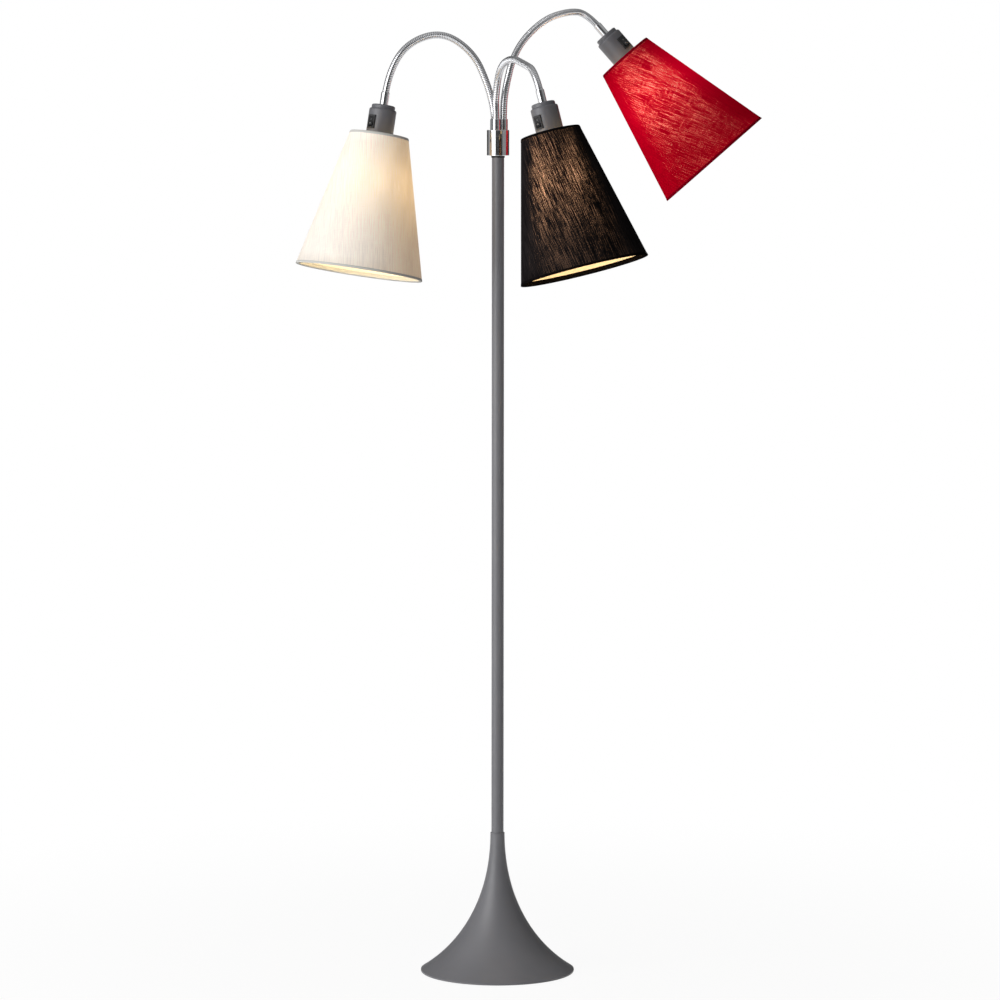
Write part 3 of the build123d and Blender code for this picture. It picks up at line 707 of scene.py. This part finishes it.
def make_lining(name, low, high):
    """Styrene backing behind the linen: smooth, matt and pale.

    It glows a little, for the light that the inside of the shade throws back and forth.
    """
    material, tree, output = new_material(name)
    pattern = add(tree, "UVMap", uv_map="cloth").outputs[0]
    colour = between(tree, patches(tree, pattern, 9, 3.0), linear(low), linear(high))
    relief = add(tree, "Bump", {"Height": patches(tree, pattern, 1.6, stretch=(1, 0.2, 1)),
                                "Distance": 0.05 * MM}).outputs[0]
    body = add(tree, "BsdfPrincipled", {"Base Color": colour, "Roughness": 0.7,
                                        "Specular IOR Level": 0.3, "Normal": relief,
                                        "Emission Color": (1.0, 0.76, 0.44, 1),
                                        "Emission Strength": 0.25})
    tree.links.new(body.outputs[0], output.inputs["Surface"])
    return material


PATCH_SHARE = 0.4    # how much the broad patches of thicker yarn count, beside the yarns
WEAVE_SPREAD = 0.3   # how far the summed noise strays from its middle
GAP_POWER = 8.0      # how suddenly a raised yarn hides the light beside it


@dataclass
class Cloth:
    """How one linen looks: yarn colours, lamp light through it, and how it hides that light."""

    yarn_low: str
    yarn_high: str
    shadowed_hem: str             # doubled cloth round the rims, painted darker than the yarns as shade
    leak_low: tuple      # colour of the light through close yarn, linear
    leak_high: tuple     # and through open weave
    closed: float        # value of the weave up to which it is closed
    opened: float        # and from which it is fully open
    lamp: float          # strength of the light behind it
    evenness: float      # light that passes everywhere, besides the open weave
    cross: float         # how much the yarns across the grain show
    scattered: float     # light that reaches every part of the shade inside


def make_linen(arm, cloth):
    """Slubby linen on its backing: uneven yarns both ways, with the lamp's light painted on as a glow where
    the weave lies open.

    Yarns of 0.5 mm are too fine to show, so they are drawn about 1 mm apart, and 20 to 60 mm
    long. The lamp's light through the gaps between the yarns is painted on as emission.
    """
    material, tree, output = new_material(f"linen_{arm.name}")
    pattern = add(tree, "UVMap", uv_map="cloth").outputs[0]
    turned = add(tree, "Mapping", {"Vector": pattern,
                                   "Rotation": (0, 0, radians(arm.grain_turn))}).outputs[0]
    slub = patches(tree, turned, 1.2, detail=1.0, stretch=(1, 0.02, 1))
    yarn = patches(tree, turned, 0.8, detail=1.0, stretch=(1, 0.04, 1))
    weft = patches(tree, turned, 1.0, detail=1.0, stretch=(0.05, 1, 1))
    patch = patches(tree, turned, 30, stretch=(1, 0.5, 1))
    threads = add(tree, "Math", {0: slub, 1: yarn}, operation="ADD").outputs[0]
    crossed = add(tree, "Math", {0: weft, 1: cloth.cross, 2: threads}, operation="MULTIPLY_ADD")
    mottled = add(tree, "Math", {0: patch, 1: PATCH_SHARE, 2: crossed.outputs[0]},
                  operation="MULTIPLY_ADD").outputs[0]
    middle = 0.5 * (2 + cloth.cross + PATCH_SHARE)
    weave = add(tree, "MapRange", {"Value": mottled, "From Min": middle - WEAVE_SPREAD,
                                   "From Max": middle + WEAVE_SPREAD}).outputs[0]
    single = add(tree, "Attribute", attribute_name="single_cloth").outputs["Fac"]
    yarns = between(tree, weave, linear(cloth.yarn_low), linear(cloth.yarn_high),
                    floor=0.25, ceiling=0.75)
    # hems and turned-in cloth take the hem colour, painted darker than the yarns as shade at the rims
    colour = add(tree, "MixRGB", {"Fac": single, "Color1": linear(cloth.shadowed_hem),
                                  "Color2": yarns}).outputs[0]
    gap = add(tree, "Attribute", attribute_name="yarn_gap").outputs["Fac"]
    seen = add(tree, "Math", {0: gap, 1: GAP_POWER}, operation="POWER").outputs[0]
    opening = add(tree, "MapRange", {"Value": weave, "From Min": cloth.closed,
                                     "From Max": cloth.opened},
                  interpolation_type="SMOOTHSTEP").outputs[0]
    leak = add(tree, "Math", {0: seen, 1: opening}, operation="MULTIPLY").outputs[0]
    # painted light: the cloth glows by emission where the lamp would shine through it
    glow = between(tree, leak, (*cloth.leak_low, 1), (*cloth.leak_high, 1),
                   floor=0.0, ceiling=1.0)
    amount = add(tree, "MapRange", {"Value": leak, "To Min": cloth.evenness}).outputs[0]
    near = add(tree, "Attribute", attribute_name="lamp_light").outputs["Fac"]
    light = add(tree, "MapRange", {"Value": near, "To Min": cloth.scattered * cloth.lamp,
                                   "To Max": cloth.lamp}, clamp=False).outputs[0]
    reach = add(tree, "Math", {0: light, 1: single}, operation="MULTIPLY").outputs[0]
    strength = add(tree, "Math", {0: reach, 1: amount}, operation="MULTIPLY").outputs[0]
    relief = add(tree, "Bump", {"Height": weave, "Strength": 0.5,
                                "Distance": 0.2 * MM}).outputs[0]
    body = add(tree, "BsdfPrincipled", {"Base Color": colour, "Roughness": 0.95,
                                        "Specular IOR Level": 0.0, "Normal": relief,
                                        "Emission Color": glow, "Emission Strength": strength})
    tree.links.new(body.outputs[0], output.inputs["Surface"])
    return material


CLOTHS = {
    "white": Cloth(yarn_low="#E0E0DF", yarn_high="#E9E9E7", shadowed_hem="#D0CFCA",
                   leak_low=(0.48, 0.29, 0.10), leak_high=(0.58, 0.37, 0.15),
                   closed=0.1, opened=0.9, lamp=1.08, evenness=0.8, cross=0.3, scattered=0.35),
    "black": Cloth(yarn_low="#131112", yarn_high="#262324", shadowed_hem="#100E0E",
                   leak_low=(0.60, 0.30, 0.15), leak_high=(1.0, 0.52, 0.28),
                   closed=0.34, opened=1.0, lamp=6.0, evenness=0.0, cross=0.3, scattered=0.02),
    "red": Cloth(yarn_low="#AE0018", yarn_high="#C4001E", shadowed_hem="#8A0018",
                 leak_low=(1.0, 0.0, 0.03), leak_high=(0.75, 0.60, 0.38),
                 closed=0.3, opened=1.0, lamp=8.0, evenness=0.034, cross=0.8, scattered=0.1),
}

wound_chrome = make_wound_chrome()
opal_glass = make_opal_glass()
linings = {
    "white": make_lining("lining_white", "#F6EFDC", "#FCF6E6"),
    "black": make_lining("lining_cream", "#F1E2C4", "#F7E9CE"),
    "red": make_lining("lining_rose", "#F4E2CF", "#F9EBDC"),
}

# ---- finishes on the solids that stay --------------------------------------------------------
STAND_FINISHES = {
    "base_shell": powder_coat, "pole_tube": powder_coat, "base_weight": cast_iron,
    "base_pad": felt, "base_washer": zinc_plate, "base_nut": zinc_plate,
    "pole_stud": zinc_plate, "pole_plug": zinc_plate, "collar_screw": zinc_plate,
    "cord_gland": black_abs, "pole_spacer": black_abs, "lead_joiner": black_abs,
    "collar": chrome, "mains_lead": pvc_lead, "arm_leads": pvc_lead,
}
HEAD_FINISHES = {
    "lower_ferrule": chrome, "upper_ferrule": chrome, "holder_cap": grey_polymer,
    "holder_body": grey_polymer, "switch_housing": black_abs, "switch_rocker": rocker_black,
    "socket_core": urea_core, "screw_shell": brass, "bulb_cap": aluminium,
    "bulb_glass": opal_glass, "shade_frame": coated_wire, "shade_ring": white_polyamide,
}


def finish_node(node, material):
    """Gives a solid one finish."""
    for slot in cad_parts[node].material_slots:
        slot.material = material


for node, material in STAND_FINISHES.items():
    finish_node(node, material)

for arm in ARMS:
    for part, material in HEAD_FINISHES.items():
        finish_node(f"{part}_{arm.name}", material)
    wound_neck(arm, wound_chrome)
    linen_shade(arm, make_linen(arm, CLOTHS[arm.name]), linings[arm.name])
    skirt_thread(arm, grey_polymer)
    switch_marks(arm, ink)


# ---- floor, light and camera -----------------------------------------------------------------
FLOOR_HALF = 30.0
FLOOR_FADE = (0.25, 1.6)     # from the lamp's foot, over this stretch, the shadow goes
FLOOR_SHARE = 0.93           # of plain white at the foot; the rest is paint that takes a shadow
# Degrees round from the camera's side, left below 0 and right above it, and how bright it is
STUDIO_BANDS = ((-125, 0.06), (-112, 0.4), (-90, 0.5), (-84, 1.0), (-58, 1.0), (-52, 0.06),
                (15, 0.06), (26, 0.14), (48, 0.14), (55, 0.3), (104, 0.3), (118, 0.06))
BEHIND = 0.06
CEILING_FROM, CEILING_TO = 0.35, 0.95    # upward part of a direction, from bands to ceiling
CEILING_MIRRORED = 0.55      # its brightness in the chrome, where it would otherwise be white
SURROUNDINGS = 0.42          # strength of the studio as light; mirrored, it keeps all of it


def grey(level):
    """A neutral colour."""
    return (level, level, level, 1)


def make_floor():
    """A plain white floor that keeps a faint shadow and fades into the background."""
    mesh = bmesh.new()
    bmesh.ops.create_grid(mesh, x_segments=1, y_segments=1, size=FLOOR_HALF)
    material, tree, output = new_material("studio_floor")
    path = add(tree, "LightPath")
    place = add(tree, "TexCoord").outputs["Object"]
    away = add(tree, "VectorMath", {0: place}, operation="LENGTH").outputs["Value"]
    bare = add(tree, "MapRange", {"Value": away, "From Min": FLOOR_FADE[0],
                                  "From Max": FLOOR_FADE[1], "To Min": FLOOR_SHARE},
               interpolation_type="SMOOTHSTEP").outputs[0]
    paint = add(tree, "BsdfDiffuse", {"Color": linear("#F7F7F7")})
    white = add(tree, "Emission", {"Color": WHITE})
    shown = add(tree, "Math", {0: path.outputs["Is Camera Ray"],
                               1: path.outputs["Is Glossy Ray"]}, operation="MAXIMUM").outputs[0]
    share = add(tree, "Math", {0: shown, 1: bare}, operation="MULTIPLY")
    mixed = add(tree, "MixShader", {0: share.outputs[0], 1: paint.outputs[0],
                                    2: white.outputs[0]})
    tree.links.new(mixed.outputs[0], output.inputs["Surface"])
    placed("floor", mesh, [material])


def make_world():
    """White to the camera; around it a studio, bright at the left, grey at the right.

    Its front and back are dark. The bands are what the chrome shows: directions run from the
    back round the left, the camera's side and the right to the back again.
    """
    world = bpy.data.worlds.new("studio")
    bpy.context.scene.world = world
    world.use_nodes = True
    tree = world.node_tree
    tree.nodes.clear()
    way = add(tree, "SeparateXYZ", {0: add(tree, "TexCoord").outputs["Generated"]})
    front = add(tree, "Math", {0: way.outputs[1], 1: -1.0}, operation="MULTIPLY").outputs[0]
    turn = add(tree, "Math", {0: way.outputs[0], 1: front}, operation="ARCTAN2").outputs[0]
    share = add(tree, "MapRange", {"Value": turn, "From Min": -pi, "From Max": pi}).outputs[0]
    bands = add(tree, "ValToRGB", {"Fac": share})
    stops = bands.color_ramp.elements
    for degrees, level in STUDIO_BANDS:
        stops.new((degrees + 180) / 360).color = grey(level)
    for stop in (stops[0], stops[-1]):
        stop.color = grey(BEHIND)
    sky = add(tree, "MapRange", {"Value": way.outputs[2], "From Min": CEILING_FROM,
                                 "From Max": CEILING_TO}).outputs[0]
    path = add(tree, "LightPath")
    mirrored = path.outputs["Is Glossy Ray"]
    ceiling = add(tree, "MixRGB", {"Fac": mirrored, "Color1": WHITE,
                                   "Color2": grey(CEILING_MIRRORED)}).outputs[0]
    around = add(tree, "MixRGB", {"Fac": sky, "Color1": bands.outputs[0],
                                  "Color2": ceiling}).outputs[0]
    dimmed = add(tree, "MixRGB", {"Fac": mirrored, "Color1": grey(SURROUNDINGS),
                                  "Color2": WHITE}).outputs[0]
    lit = add(tree, "MixRGB", {"Fac": 1.0, "Color1": around, "Color2": dimmed},
              blend_type="MULTIPLY").outputs[0]
    shown = add(tree, "MixRGB", {"Fac": path.outputs["Is Camera Ray"], "Color1": lit,
                                 "Color2": WHITE}).outputs[0]
    back = add(tree, "Background", {"Color": shown, "Strength": 1.0})
    output = add(tree, "OutputWorld")
    tree.links.new(back.outputs[0], output.inputs["Surface"])


def soft_light(name, place, target, size, power):
    """A rectangular softbox that looks at a target."""
    data = bpy.data.lights.new(name, "AREA")
    data.shape = "RECTANGLE"
    data.size, data.size_y = size
    data.energy = power
    light = bpy.data.objects.new(name, data)
    light.location = place
    light.rotation_euler = (Vector(target) - Vector(place)).to_track_quat("-Z", "Y").to_euler()
    light.visible_camera = False
    bpy.context.scene.collection.objects.link(light)


def make_camera():
    """Level with the shades and tilted a little down, as the photograph was taken."""
    data = bpy.data.cameras.new("camera")
    data.sensor_width = 36.0
    data.lens = 151.14
    data.clip_end = 100.0
    camera = bpy.data.objects.new("camera", data)
    camera.location = (0.003, -6.5, 1.32)
    camera.rotation_euler = (radians(90 - 5.08), radians(-0.048), 0)
    bpy.context.scene.collection.objects.link(camera)
    bpy.context.scene.camera = camera


make_floor()
make_world()
soft_light("key", (-2.3, -1.9, 1.5), (0, 0, 0.9), (2.4, 3.2), 80.0)
make_camera()
bpy.context.scene.view_settings.view_transform = "Standard"
